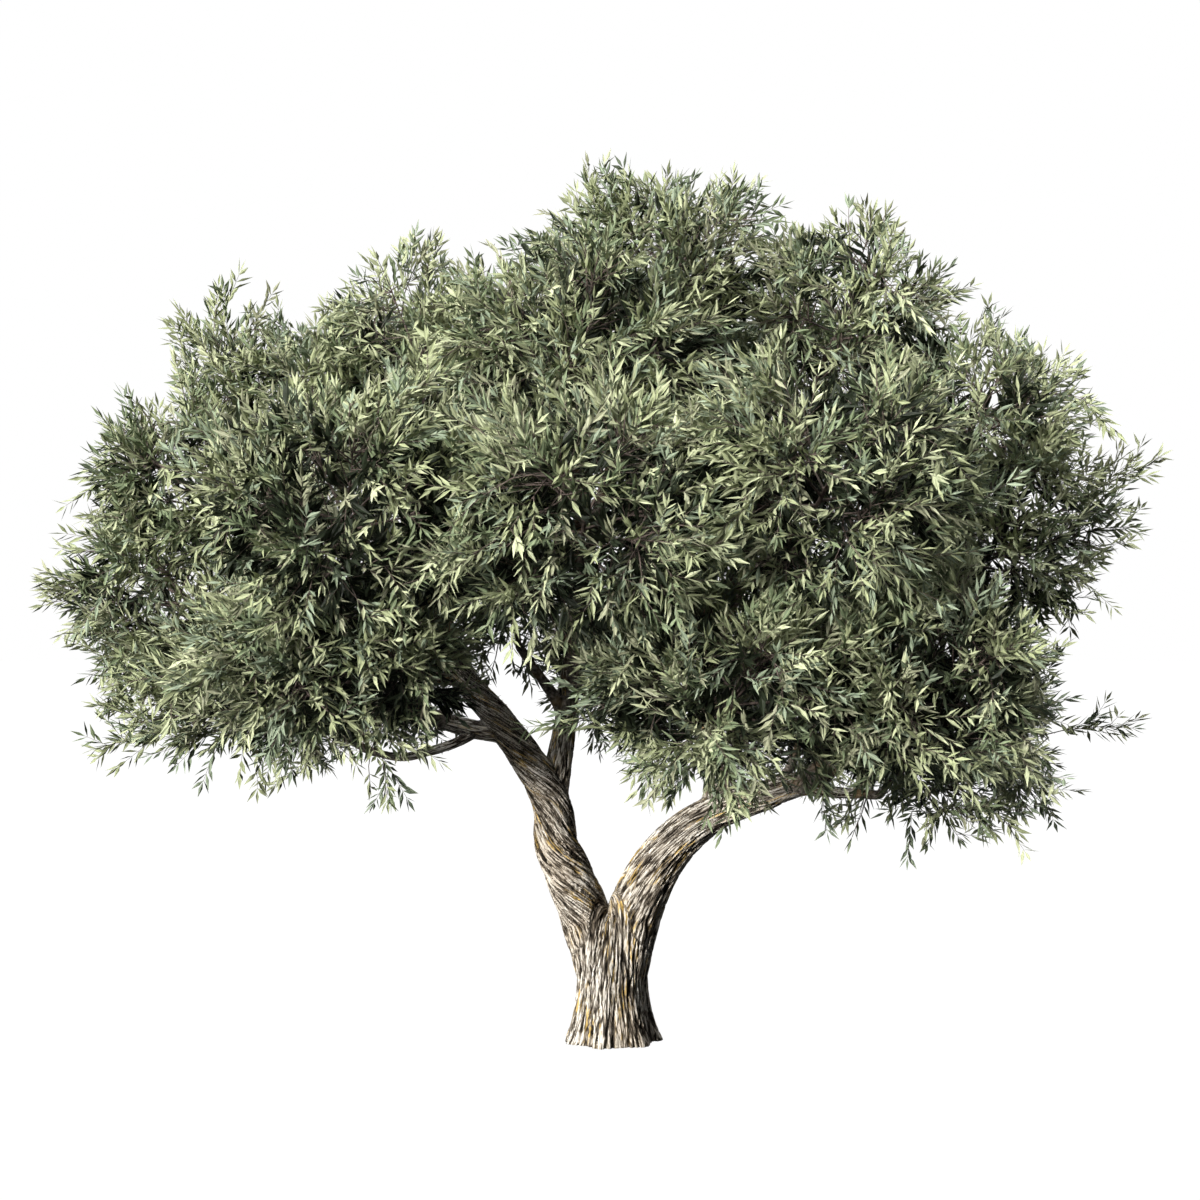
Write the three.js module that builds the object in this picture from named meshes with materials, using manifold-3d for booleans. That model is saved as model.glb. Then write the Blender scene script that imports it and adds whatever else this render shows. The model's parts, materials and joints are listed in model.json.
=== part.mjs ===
// A spreading olive tree: a short fluted trunk that forks in two, boughs that branch from one another,
// and one mass of foliage at the tip of each bough.
// Millimetres, +Z up. The origin is the centre of the flat cut at ground level.

import * as THREE from "three";
import { mergeVertices } from "three/addons/utils/BufferGeometryUtils.js";
import Module from "manifold-3d";

const wasm = await Module();
wasm.setup();

// ---- Driving dimensions -------------------------------------------------------------------------

const CLEARANCE = 0.3; // between a limb and what grows from it

const TRUNK = {
  foot: 203, // radius at the cut
  waist: 147, // radius above the root flare
  top: 96, // radius where the column closes, inside the two main boughs
  flare: 300, // height of the root flare
  flarePower: 2.3,
  shoulder: 320, // height where the column starts to close
  height: 520,
  sides: 28,
  rings: 10,
};
const FLUTES = { count: 7, twist: 0.35, foot: 0.085, above: 0.03 }; // root ribs that climb the trunk
const FORK_SHARE = 0.21; // share of each main bough's axis that belongs to the trunk

const TIP_RADIUS = 15; // of a bough where it enters its foliage
const TAPER = 1.25; // above 1, a bough keeps its girth for longer
const ENTRY = 0.8; // how far from a mass's middle its bough stops, as a share of its size
const LIMB_SIDES = { main: 12, second: 8, minor: 6 };

const CORE = { share: 0.6, peak: 1.16, hollow: 0.8, jitter: 0.12 }; // the dense middle of a mass
const STEM_TIP_RADIUS = 9;
const TWIG = { count: 9, rootRadius: 10, tipRadius: 7, reachLow: 0.94, reachHigh: 1.08 };
const LEAF = { length: 380, width: 130, thickness: 15, widest: 0.42, sunk: 14 };
const LEAF_PAIR = 0.9; // where along its twig the pair of side leaves leaves it
const LEAF_SPLAY = 0.8; // how far a side leaf turns from its twig, in radians
const SPACE_GAP = 8; // kept free on each side of the wall between two masses
const LIMB_GAP = 8; // kept free round a limb that foliage passes
const SHORTEST_EDGE = { bark: 0.2, foliage: 2 }; // of a finished solid
const TWIN_GAP = 0.3; // between corners that would otherwise share one place
const SEED = 20;

// Each bough: what it grows from and where along it, its root radius, points that it passes through,
// and the middle and half size of the foliage that it ends in.
const BOUGHS = [
  {
    name: "left_bough", from: "trunk", root: 118, size: "main",
    via: [[-20, 0, 240], [-138, 0, 600], [-240, -10, 850], [-280, -20, 1080], [-466, -30, 1368],
      [-680, -40, 1654], [-770, -60, 2050]],
    middle: [-840, -100, 3010], half: [560, 560, 480],
  },
  {
    name: "right_bough", from: "trunk", root: 130, size: "main",
    via: [[10, 0, 240], [114, 0, 600], [246, -10, 830], [440, -20, 993], [720, -40, 1095],
      [1000, -60, 1240]],
    middle: [1700, -150, 2240], half: [530, 630, 490],
  },
  {
    name: "left_upright", from: "left_bough", at: 0.4, root: 66, size: "second",
    via: [[-236, 20, 1200], [-206, 40, 1400], [-190, 50, 1600], [-90, 40, 2200]],
    middle: [210, 0, 3350], half: [610, 630, 520],
  },
  {
    name: "left_low_bough", from: "left_bough", at: 0.56, root: 46, size: "second",
    via: [[-640, -20, 1372], [-840, -20, 1435], [-1050, -30, 1500], [-1350, -40, 1680]],
    middle: [-1940, -50, 1980], half: [580, 610, 450],
  },
  {
    name: "left_drooping_bough", from: "left_low_bough", at: 0.14, root: 24,
    via: [[-690, -60, 1305], [-800, -90, 1272], [-920, -120, 1250], [-1060, -150, 1285]],
    middle: [-1550, -260, 1590], half: [620, 630, 400],
  },
  {
    name: "left_side_bough", from: "left_bough", at: 0.68, root: 28,
    via: [[-760, -60, 1590], [-900, -90, 1620], [-1130, -120, 1840]],
    middle: [-1790, -200, 2420], half: [570, 630, 460],
  },
  {
    name: "left_high_bough", from: "left_bough", at: 0.76, root: 30,
    middle: [-1440, 0, 2770], half: [540, 590, 430],
  },
  {
    name: "left_front_bough", from: "left_bough", at: 0.72, root: 30,
    middle: [-1060, -1230, 2310], half: [660, 600, 550],
  },
  {
    name: "left_front_low_bough", from: "left_low_bough", at: 0.3, root: 24,
    middle: [-1130, -920, 1700], half: [610, 590, 420],
  },
  {
    name: "left_back_bough", from: "left_bough", at: 0.64, root: 32,
    middle: [-1230, 1240, 2300], half: [680, 630, 550],
  },
  {
    name: "left_back_low_bough", from: "left_low_bough", at: 0.42, root: 24,
    middle: [-1290, 820, 1660], half: [640, 560, 410],
  },
  {
    name: "left_back_high_bough", from: "left_bough", at: 0.83, root: 26,
    middle: [-790, 840, 2960], half: [590, 540, 500],
  },
  {
    name: "left_inner_bough", from: "left_upright", at: 0.44, root: 24,
    via: [[-290, -20, 1560], [-400, -60, 1720]],
    middle: [-530, 60, 2170], half: [560, 540, 550],
  },
  {
    name: "centre_front_bough", from: "left_upright", at: 0.46, root: 28,
    via: [[-175, -60, 1610]],
    middle: [-110, -1380, 2260], half: [670, 560, 550],
  },
  {
    name: "centre_front_high_bough", from: "left_upright", at: 0.66, root: 26,
    middle: [-150, -760, 2960], half: [600, 550, 530],
  },
  {
    name: "centre_back_bough", from: "left_upright", at: 0.52, root: 28,
    middle: [-20, 1420, 2300], half: [670, 590, 550],
  },
  {
    name: "centre_back_high_bough", from: "left_upright", at: 0.74, root: 24,
    middle: [150, 860, 3000], half: [610, 560, 520],
  },
  {
    name: "right_upright", from: "right_bough", at: 0.5, root: 58, size: "second",
    via: [[465, 10, 1160], [440, 20, 1340], [420, 30, 1560], [480, 20, 1850], [620, 0, 2250]],
    middle: [1030, -100, 3220], half: [480, 560, 490],
  },
  {
    name: "right_low_bough", from: "right_bough", at: 0.66, root: 32, size: "second",
    via: [[850, -60, 1105], [1000, -90, 1092], [1150, -110, 1085]],
    middle: [1460, -160, 1370], half: [520, 610, 460],
  },
  {
    name: "right_inner_bough", from: "right_upright", at: 0.52, root: 22,
    middle: [400, 60, 2430], half: [470, 540, 500],
  },
  {
    name: "right_front_bough", from: "right_upright", at: 0.5, root: 30,
    middle: [830, -1320, 2420], half: [650, 560, 560],
  },
  {
    name: "right_front_low_bough", from: "right_upright", at: 0.3, root: 26,
    middle: [470, -1140, 1580], half: [680, 540, 450],
  },
  {
    name: "right_back_high_bough", from: "right_upright", at: 0.7, root: 26,
    middle: [1020, 860, 2860], half: [600, 560, 510],
  },
  {
    name: "right_high_bough", from: "right_bough", at: 0.86, root: 30,
    middle: [1580, -100, 2720], half: [530, 600, 460],
  },
  {
    name: "right_low_front_bough", from: "right_bough", at: 0.72, root: 28,
    middle: [1250, -980, 1600], half: [570, 540, 490],
  },
  {
    name: "right_back_bough", from: "right_bough", at: 0.78, root: 30,
    middle: [1290, 1130, 2170], half: [640, 590, 520],
  },
  {
    name: "right_back_low_bough", from: "right_bough", at: 0.58, root: 26,
    middle: [1070, 880, 1430], half: [630, 540, 420],
  },
  {
    name: "centre_back_low_bough", from: "right_upright", at: 0.24, root: 26,
    middle: [220, 1230, 1650], half: [620, 540, 430],
  },
];

// Long shoots that stand out of the crown: the bough whose foliage each belongs to, and its tip.
const SHOOTS = [
  { of: "right_bough", tip: [2420, -150, 2560] },
  { of: "right_bough", tip: [2330, -220, 2260] },
  { of: "right_low_bough", tip: [2325, -200, 1390] },
  { of: "right_low_bough", tip: [1530, -260, 850] },
  { of: "right_low_front_bough", tip: [930, -850, 900] },
  { of: "right_front_low_bough", tip: [-5, -950, 1240] },
  { of: "right_front_low_bough", tip: [145, -950, 1130] },
  { of: "right_high_bough", tip: [2100, -100, 2960] },
  { of: "left_low_bough", tip: [-2520, -60, 1930] },
  { of: "left_drooping_bough", tip: [-2290, -280, 1280] },
  { of: "left_front_low_bough", tip: [-900, -640, 1040] },
  { of: "left_inner_bough", tip: [-560, 60, 1520] },
  { of: "left_inner_bough", tip: [-360, 130, 1560] },
  { of: "left_high_bough", tip: [-1980, -40, 3190] },
  { of: "left_high_bough", tip: [-1960, -50, 2930] },
  { of: "left_bough", tip: [-790, -100, 3560] },
  { of: "left_upright", tip: [250, 0, 3880] },
  { of: "left_upright", tip: [640, 0, 3780] },
  { of: "left_upright", tip: [-290, 0, 3660] },
  { of: "right_upright", tip: [1160, -100, 3690] },
  { of: "right_upright", tip: [1560, -100, 3300] },
];

// ---- Finishes -----------------------------------------------------------------------------------

const bark = new THREE.MeshStandardMaterial({ color: 0x8d8478, roughness: 0.95, metalness: 0 });
const foliage = new THREE.MeshStandardMaterial({ color: 0x66715a, roughness: 0.7, metalness: 0 });

// ---- Small tools --------------------------------------------------------------------------------

const vec = (p) => new THREE.Vector3(...p);
const mix = THREE.MathUtils.lerp;

// Random numbers in 0..1 that are the same on every run (mulberry32).
function seeded(seed) {
  let state = seed >>> 0;
  return () => {
    state = (state + 0x6d2b79f5) >>> 0;
    let t = state;
    t = Math.imul(t ^ (t >>> 15), t | 1);
    t ^= t + Math.imul(t ^ (t >>> 7), t | 61);
    return ((t ^ (t >>> 14)) >>> 0) / 4294967296;
  };
}

// A three.js geometry as a closed solid, and a solid as a geometry.
function solid(geometry) {
  const bare = geometry.clone();
  bare.deleteAttribute("normal");
  bare.deleteAttribute("uv");
  const merged = mergeVertices(bare, 1e-3);
  return new wasm.Manifold(
    new wasm.Mesh({
      numProp: 3,
      vertProperties: merged.attributes.position.array,
      triVerts: new Uint32Array(merged.index.array),
    }),
  );
}

function geometryOf(body) {
  const mesh = body.getMesh();
  const geometry = new THREE.BufferGeometry();
  geometry.setAttribute("position", new THREE.BufferAttribute(mesh.vertProperties, 3));
  geometry.setIndex(new THREE.BufferAttribute(mesh.triVerts, 1));
  geometry.computeVertexNormals();
  return geometry;
}

// The largest piece of a solid: loose scraps and sealed hollows are left out.
function largest(body) {
  return body.decompose().reduce((a, b) => (b.volume() > a.volume() ? b : a));
}

// Where two corners of a solid share one place, each is drawn back a little towards its own neighbours.
function partTwins(geometry) {
  const position = geometry.attributes.position;
  const index = geometry.index.array;
  const places = new Map();
  for (let i = 0; i < position.count; i++) {
    const key = [0, 1, 2].map((axis) => Math.round(position.getComponent(i, axis) * 100)).join();
    if (!places.has(key)) places.set(key, []);
    places.get(key).push(i);
  }
  const twins = new Map();
  for (const corners of places.values()) {
    if (corners.length > 1) corners.forEach((i) => twins.set(i, { sum: new THREE.Vector3(), count: 0 }));
  }
  const place = (i) => new THREE.Vector3().fromBufferAttribute(position, i);
  for (let i = 0; i < index.length; i++) {
    const twin = twins.get(index[i]);
    if (!twin) continue;
    const face = i - (i % 3);
    twin.sum.add(place(index[face + ((i + 1) % 3)])).add(place(index[face + ((i + 2) % 3)]));
    twin.count += 2;
  }
  const moved = [...twins].map(([i, twin]) => {
    const toward = twin.sum.divideScalar(twin.count).sub(place(i));
    return [i, place(i).addScaledVector(toward, Math.min(0.4, TWIN_GAP / toward.length()))];
  });
  moved.forEach(([i, to]) => position.setXYZ(i, to.x, to.y, to.z));
  return geometry;
}

// A finished solid in one piece, with edges too short to matter closed up.
function settled(body, shortestEdge) {
  let kept = largest(body.simplify(shortestEdge));
  for (let pass = 0; pass < 4; pass++) {
    kept = largest(solid(partTwins(geometryOf(kept.simplify(TWIN_GAP / 2)))));
  }
  return kept;
}

// ---- Limbs --------------------------------------------------------------------------------------

// Rings along a curve: a middle, two directions across and a radius for each.
function ringsAlong(curve, radiusAt, count) {
  const frames = curve.computeFrenetFrames(count);
  const rings = [];
  for (let i = 0; i <= count; i++) {
    const t = i / count;
    rings.push({
      t,
      middle: curve.getPoint(t),
      across: frames.binormals[i],
      beside: frames.normals[i],
      along: curve.getTangent(t),
      radius: radiusAt(t),
    });
  }
  return rings;
}

// A shape through rings. It starts as a unit cylinder, or a cone where it ends in a point, whose
// levels are moved onto the rings. A ring's outline gives its radius for each angle.
function loftGeometry(rings, sides, pointed = false) {
  const last = rings.length - 1;
  const geometry = new THREE.CylinderGeometry(pointed ? 0 : 1, 1, 1, sides, last);
  const position = geometry.attributes.position;
  for (let i = 0; i < position.count; i++) {
    const ring = rings[Math.round((position.getY(i) + 0.5) * last)];
    const angle = Math.atan2(position.getX(i), position.getZ(i));
    const onAxis = Math.hypot(position.getX(i), position.getZ(i)) < 1e-6;
    const radius = onAxis ? 0 : (ring.outline?.(angle) ?? ring.radius);
    const place = ring.middle.clone().addScaledVector(ring.beside, radius * Math.cos(angle));
    place.addScaledVector(ring.across, radius * Math.sin(angle));
    position.setXYZ(i, place.x, place.y, place.z);
  }
  return geometry;
}

const loft = (...shape) => solid(loftGeometry(...shape));

// The point of a bough's foliage that faces a given point, at a share of the foliage's size.
function nearSide(bough, share, from) {
  const middle = vec(bough.middle);
  const ray = from.clone().sub(middle);
  const size = Math.hypot(ray.x / bough.half[0], ray.y / bough.half[1], ray.z / bough.half[2]);
  return middle.addScaledVector(ray, share / size);
}

// The axis of a bough: through its own points if it has any, otherwise a sweep that leaves its parent
// partly along it and ends rising into the foliage.
function axisOf(bough, parent) {
  const start = parent ? parent.curve.getPoint(bough.at) : vec(bough.via[0]);
  const points = [start];
  const own = (bough.via ?? []).slice(parent ? 0 : 1).map(vec);
  points.push(...own);
  const last = points[points.length - 1];
  const tip = nearSide(bough, ENTRY, last);
  if (!own.length) {
    const reach = tip.clone().sub(start);
    const leave = parent.curve.getTangent(bough.at).multiplyScalar(reach.length() * 0.16);
    points.push(start.clone().addScaledVector(reach, 0.3).add(leave));
    points.push(start.clone().addScaledVector(reach, 0.68).add(leave.multiplyScalar(0.55)));
  }
  points.push(tip);
  return new THREE.CatmullRomCurve3(points, false, "catmullrom", 0.5);
}

const limbs = new Map();
for (const bough of BOUGHS) {
  const parent = limbs.get(bough.from);
  const curve = axisOf(bough, parent);
  const size = bough.size ?? "minor";
  const count = size === "minor" ? 7 : 5 + 2 * curve.points.length;
  const radiusAt = (t) => mix(bough.root, TIP_RADIUS, t ** TAPER);
  const rings = ringsAlong(curve, radiusAt, count);
  const forkRing = parent ? 0 : Math.round(FORK_SHARE * count);
  limbs.set(bough.name, { bough, parent, curve, radiusAt, rings, forkRing, sides: LIMB_SIDES[size] });
}

// A fluted column that closes inside the feet of the two main boughs, which are the trunk's too.
function makeTrunk() {
  const rings = [];
  for (let i = 0; i <= TRUNK.rings; i++) {
    const height = (TRUNK.height * i) / TRUNK.rings;
    const flare = Math.max(0, 1 - height / TRUNK.flare) ** TRUNK.flarePower;
    const closing = THREE.MathUtils.smoothstep(height, TRUNK.shoulder, TRUNK.height);
    const radius = mix(TRUNK.waist, TRUNK.top, closing) + (TRUNK.foot - TRUNK.waist) * flare;
    const depth = mix(FLUTES.above, FLUTES.foot, flare);
    const turn = (FLUTES.twist * height) / TRUNK.height;
    rings.push({
      middle: new THREE.Vector3(0, 0, height),
      across: new THREE.Vector3(0, 1, 0),
      beside: new THREE.Vector3(1, 0, 0),
      outline: (angle) => radius * (1 + depth * Math.cos(FLUTES.count * (angle + turn))),
    });
  }
  const parts = [loft(rings, TRUNK.sides)];
  for (const limb of limbs.values()) {
    if (!limb.parent) parts.push(loft(limb.rings.slice(0, limb.forkRing + 1), limb.sides));
  }
  return largest(wasm.Manifold.union(parts));
}

// A bough's own solid, cut clear of the limb that it grows from.
function makeLimb(limb) {
  const rings = limb.rings.slice(limb.forkRing);
  if (!limb.parent) {
    const middle = rings[0].middle.clone().addScaledVector(rings[0].along, CLEARANCE);
    return loft([{ ...rings[0], middle }, ...rings.slice(1)], limb.sides);
  }
  const { rings: parentRings, forkRing, sides } = limb.parent;
  const bed = parentRings.slice(forkRing).map((ring) => ({ ...ring, radius: ring.radius + CLEARANCE }));
  return largest(loft(rings, limb.sides).subtract(loft(bed, sides)));
}

// ---- Foliage ------------------------------------------------------------------------------------

// The radius of a ball as big as a mass.
const meanHalf = (bough) => Math.cbrt(bough.half[0] * bough.half[1] * bough.half[2]);

// The flat walls of a mass's own space, one to each neighbour and nearer the smaller of the two.
function wallsOf(bough) {
  const own = vec(bough.middle);
  return BOUGHS.filter((other) => other !== bough).map((other) => {
    const normal = vec(other.middle).sub(own);
    const apart = normal.length();
    const reach = (apart + (meanHalf(bough) ** 2 - meanHalf(other) ** 2) / apart) / 2 - SPACE_GAP;
    normal.normalize();
    return new THREE.Plane(normal, -normal.dot(own) - reach);
  });
}

// Straight stretches of every limb and stem, with their radii, for foliage to keep off.
const stretches = [];
function addStretches(owner, curve, radiusAt, count) {
  for (let i = 0; i < count; i++) {
    const line = new THREE.Line3(curve.getPoint(i / count), curve.getPoint((i + 1) / count));
    stretches.push({ owner, line, radius: radiusAt((i + 0.5) / count) });
  }
}

// Whether a straight piece of foliage comes too near a limb, or the stem of another mass.
function touchesLimb(owner, from, to, halfWidth) {
  const line = new THREE.Line3(from, to);
  return stretches.some((s) => {
    if (s.owner === owner) return false;
    const near = s.radius + halfWidth + LIMB_GAP;
    return line.distanceSqToLine3(s.line) < near * near;
  });
}

// The stem of a mass carries on from its bough's tip to the middle of the mass.
function stemOf(limb) {
  const { bough, rings } = limb;
  const tip = rings[rings.length - 1];
  const foot = tip.middle.clone().addScaledVector(tip.along, CLEARANCE);
  const heart = vec(bough.middle);
  const bend = foot.clone().addScaledVector(tip.along, foot.distanceTo(heart) * 0.45);
  return new THREE.QuadraticBezierCurve3(foot, bend, heart);
}

for (const limb of limbs.values()) {
  limb.stem = stemOf(limb);
  addStretches("limb", limb.curve, limb.radiusAt, 16);
  addStretches(limb.bough.name, limb.stem, () => TIP_RADIUS, 4);
}

// The room that a limb needs through a core: a coarse tube round it.
function channel(rings) {
  const wider = 1 / Math.cos(Math.PI / 5);
  return loft(rings.map((ring) => ({ ...ring, radius: (ring.radius + LIMB_GAP) * wider })), 5);
}

// The dense middle of a mass: an icosahedron with its corners pulled out and its edges drawn in, cut
// to the mass's own space and clear of every limb that passes.
function makeCore(limb, walls, random) {
  const { middle, half } = limb.bough;
  const geometry = new THREE.IcosahedronGeometry(1, 1);
  const position = geometry.attributes.position;
  const corners = new Set();
  const peaks = new THREE.IcosahedronGeometry(1, 0).attributes.position;
  const keyOf = (x, y, z) => [x, y, z].map((c) => Math.round(c * 1000)).join();
  for (let i = 0; i < peaks.count; i++) corners.add(keyOf(peaks.getX(i), peaks.getY(i), peaks.getZ(i)));
  const shares = new Map();
  for (let i = 0; i < position.count; i++) {
    const corner = [position.getX(i), position.getY(i), position.getZ(i)];
    const key = keyOf(...corner);
    const base = corners.has(key) ? CORE.peak : CORE.hollow;
    if (!shares.has(key)) shares.set(key, CORE.share * (base + CORE.jitter * (2 * random() - 1)));
    const share = shares.get(key);
    position.setXYZ(i, ...corner.map((c, axis) => middle[axis] + c * half[axis] * share));
  }
  let core = solid(geometry);
  for (const wall of walls) {
    core = core.trimByPlane(wall.normal.clone().negate().toArray(), wall.constant);
  }
  for (const other of limbs.values()) {
    core = core.subtract(channel(other.rings));
    if (other !== limb) core = core.subtract(channel(ringsAlong(other.stem, () => TIP_RADIUS, 3)));
  }
  return largest(core);
}

// A blade of eight faces from root to tip, turned so that its flat side faces the given way.
function makeLeaf(root, tip, facing) {
  const along = tip.clone().sub(root);
  const length = along.length();
  const scale = length / LEAF.length;
  along.normalize();
  const side = along.clone().cross(facing).normalize();
  const flat = side.clone().cross(along);
  const geometry = new THREE.OctahedronGeometry(1);
  const position = geometry.attributes.position;
  for (let i = 0; i < position.count; i++) {
    const end = Math.round(position.getX(i));
    const place = root.clone().addScaledVector(along, length * (end ? (end + 1) / 2 : LEAF.widest));
    place.addScaledVector(side, (position.getY(i) * LEAF.width * scale) / 2);
    place.addScaledVector(flat, (position.getZ(i) * LEAF.thickness * scale) / 2);
    position.setXYZ(i, place.x, place.y, place.z);
  }
  return geometry;
}

// Evenly spread directions, turned by the golden angle.
function direction(i, count, turn) {
  const height = 1 - (2 * i + 1) / count;
  const angle = i * Math.PI * (3 - Math.sqrt(5)) + turn;
  const flat = Math.sqrt(1 - height * height);
  return new THREE.Vector3(flat * Math.cos(angle), flat * Math.sin(angle), height);
}

// Whether a leaf or twig lies within the walls of its space and clear of all limbs and other stems.
function fits(owner, walls, geometry, from, to, halfWidth) {
  const position = geometry.attributes.position;
  const point = new THREE.Vector3();
  for (let i = 0; i < position.count; i++) {
    point.fromBufferAttribute(position, i);
    if (walls.some((wall) => wall.distanceToPoint(point) > 0)) return false;
  }
  return !touchesLimb(owner, from, to, halfWidth);
}

// One twig that ends in a leaf, and a pair of leaves beside its tip. It is left out where it would leave
// the mass's space or touch a limb, and so is each leaf of the pair.
function growTwig(limb, walls, target, random) {
  const { bough, stem } = limb;
  const rise = THREE.MathUtils.clamp((target.z - bough.middle[2]) / bough.half[2], -1, 1);
  const root = stem.getPoint(0.66 + 0.26 * rise);
  const reach = target.clone().sub(root);
  const length = reach.length();
  const tip = target.clone().addScaledVector(reach, (-LEAF.length * 0.85) / length);
  const turn = random() * Math.PI * 2;
  const sizes = [0.75 + 0.25 * random(), 0.75 + 0.25 * random()];

  const along = reach.clone().normalize();
  const sideways = new THREE.Vector3(0, 0, 1).cross(along).normalize();
  const upward = along.clone().cross(sideways);
  const across = sideways.clone().multiplyScalar(Math.cos(turn)).addScaledVector(upward, Math.sin(turn));
  const beside = across.clone().cross(along);
  const blade = (angle) => (Math.abs(angle) < 0.1 ? LEAF.thickness : LEAF.width / 2);
  const rings = [
    { middle: root, radius: TWIG.rootRadius },
    { middle: tip, radius: TWIG.tipRadius },
    { middle: tip.clone().lerp(target, LEAF.widest), outline: blade },
    { middle: target },
  ].map((ring) => ({ across, beside, ...ring }));
  const twig = loftGeometry(rings, 3, true);
  if (!fits(bough.name, walls, twig, root, target, LEAF.width / 2)) return [];

  const parts = [solid(twig)];
  for (const [i, sign] of [1, -1].entries()) {
    const from = root.clone().lerp(tip, LEAF_PAIR);
    const heading = along.clone().multiplyScalar(Math.cos(LEAF_SPLAY));
    heading.addScaledVector(across, sign * Math.sin(LEAF_SPLAY));
    const end = from.clone().addScaledVector(heading, LEAF.length * sizes[i]);
    const side = makeLeaf(from.clone().addScaledVector(heading, -LEAF.sunk), end, beside);
    if (fits(bough.name, walls, side, from, end, LEAF.width / 2)) parts.push(solid(side));
  }
  return parts;
}

// One mass: a stem, a core, twigs spread evenly all round and any long shoots.
function makeFoliage(limb, index) {
  const { bough, stem } = limb;
  const random = seeded(SEED + index * 101);
  const walls = wallsOf(bough);
  const stemRings = ringsAlong(stem, (t) => mix(TIP_RADIUS, STEM_TIP_RADIUS, t), 3);
  const parts = [loft(stemRings, 6), makeCore(limb, walls, random)];
  const turn = random() * Math.PI * 2;
  for (let i = 0; i < TWIG.count; i++) {
    const out = direction(i, TWIG.count, turn);
    const reach = mix(TWIG.reachLow, TWIG.reachHigh, random());
    const target = out.multiplyScalar(reach).multiply(vec(bough.half)).add(vec(bough.middle));
    parts.push(...growTwig(limb, walls, target, random));
  }
  for (const shoot of SHOOTS.filter((s) => s.of === bough.name)) {
    parts.push(...growTwig(limb, walls, vec(shoot.tip), random));
  }
  return largest(wasm.Manifold.union(parts));
}

// ---- The tree -----------------------------------------------------------------------------------

const tree = new THREE.Group();

function addNode(name, body, material, shortestEdge) {
  const mesh = new THREE.Mesh(geometryOf(settled(body, shortestEdge)), material);
  mesh.name = name;
  tree.add(mesh);
}

addNode("trunk", makeTrunk(), bark, SHORTEST_EDGE.bark);
for (const limb of limbs.values()) addNode(limb.bough.name, makeLimb(limb), bark, SHORTEST_EDGE.bark);
[...limbs.values()].forEach((limb, index) => {
  const name = limb.bough.name.replace(/_bough$/, "") + "_foliage";
  addNode(name, makeFoliage(limb, index), foliage, SHORTEST_EDGE.foliage);
});

export default tree;
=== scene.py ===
"""An olive tree, dressed round its CAD frame: one skin of furrowed bark over the trunk and the boughs,
and a crown of twigs, shoots and leaves that grow on from the boughs by the same rule as the frame's.
Metres, +Z up, with the origin at the centre of the cut at ground level."""

import json
import math
from types import SimpleNamespace

import bmesh
import bpy
import numpy as np
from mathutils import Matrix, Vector, kdtree, noise

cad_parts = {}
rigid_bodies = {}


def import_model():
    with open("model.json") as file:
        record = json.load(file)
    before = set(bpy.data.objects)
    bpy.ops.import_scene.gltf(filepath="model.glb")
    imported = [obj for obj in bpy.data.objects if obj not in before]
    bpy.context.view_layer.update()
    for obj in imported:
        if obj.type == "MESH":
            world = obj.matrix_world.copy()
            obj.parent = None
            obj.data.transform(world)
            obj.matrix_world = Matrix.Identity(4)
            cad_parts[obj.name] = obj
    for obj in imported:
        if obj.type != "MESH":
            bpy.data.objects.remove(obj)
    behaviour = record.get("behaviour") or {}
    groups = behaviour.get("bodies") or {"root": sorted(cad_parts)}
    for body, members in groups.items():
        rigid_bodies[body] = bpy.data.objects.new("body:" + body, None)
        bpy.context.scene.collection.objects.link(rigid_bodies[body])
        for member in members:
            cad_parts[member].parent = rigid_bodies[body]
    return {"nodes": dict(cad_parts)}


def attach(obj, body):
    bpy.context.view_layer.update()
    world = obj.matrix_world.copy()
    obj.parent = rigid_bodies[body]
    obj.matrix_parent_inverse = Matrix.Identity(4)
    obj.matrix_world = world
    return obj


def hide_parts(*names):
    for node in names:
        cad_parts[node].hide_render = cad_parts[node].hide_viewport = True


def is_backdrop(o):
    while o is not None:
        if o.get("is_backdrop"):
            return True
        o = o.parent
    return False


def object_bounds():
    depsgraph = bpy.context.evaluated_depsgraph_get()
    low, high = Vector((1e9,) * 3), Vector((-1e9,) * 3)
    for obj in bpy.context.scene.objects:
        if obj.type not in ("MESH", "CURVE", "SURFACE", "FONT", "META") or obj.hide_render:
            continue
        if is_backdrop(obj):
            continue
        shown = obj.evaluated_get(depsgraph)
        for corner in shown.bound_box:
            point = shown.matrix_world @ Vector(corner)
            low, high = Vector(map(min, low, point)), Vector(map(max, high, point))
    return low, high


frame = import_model()
cad_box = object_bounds()

# ---- Driving dimensions -------------------------------------------------------------------------

TRUNK = {
    "foot": 0.203,
    "waist": 0.147,
    "top": 0.096,
    "flare": 0.3,
    "flare_power": 2.3,
    "shoulder": 0.32,
    "height": 0.52,
}
FLUTES = {"count": 7, "twist": 0.35, "foot": 0.085, "above": 0.03}
TIP_RADIUS = 0.015
TAPER = 1.25
ENTRY = 0.8
SEED = 20

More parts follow.
